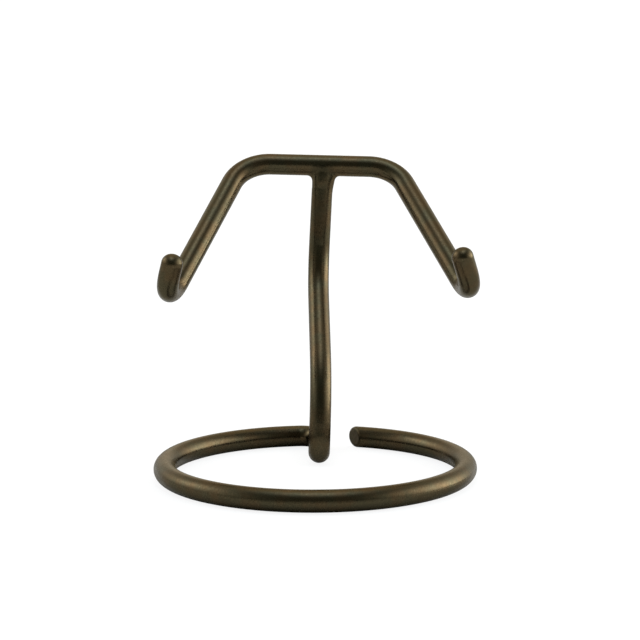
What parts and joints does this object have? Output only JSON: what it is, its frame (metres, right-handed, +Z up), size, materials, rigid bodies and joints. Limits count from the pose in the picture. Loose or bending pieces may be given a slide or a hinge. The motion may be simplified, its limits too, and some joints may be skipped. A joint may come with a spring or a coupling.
{
  "type": "wire display stand",
  "caption": "Small stand bent from round wire: an open ring foot, a post leaning back in an S, and a top bar whose two sloping arms end in small upturned hooks.",
  "frame": {"origin": "centre of the ring foot, on the table plane that the ring rests on", "axes": "+Z up, -Y towards the front that the hooks face, +X to the right seen from the front"},
  "size_m": [0.0513, 0.055, 0.0484],
  "materials": {
    "bronze_wire": "satin dark bronze coating over steel wire, faintly speckled",
    "bronze_weld": "the same satin dark bronze coating, over a small weld"
  },
  "bodies": {
    "root": {"base_wire": "bronze_wire", "cradle_wire": "bronze_wire", "weld_bead": "bronze_weld"}
  },
  "joints": []
}
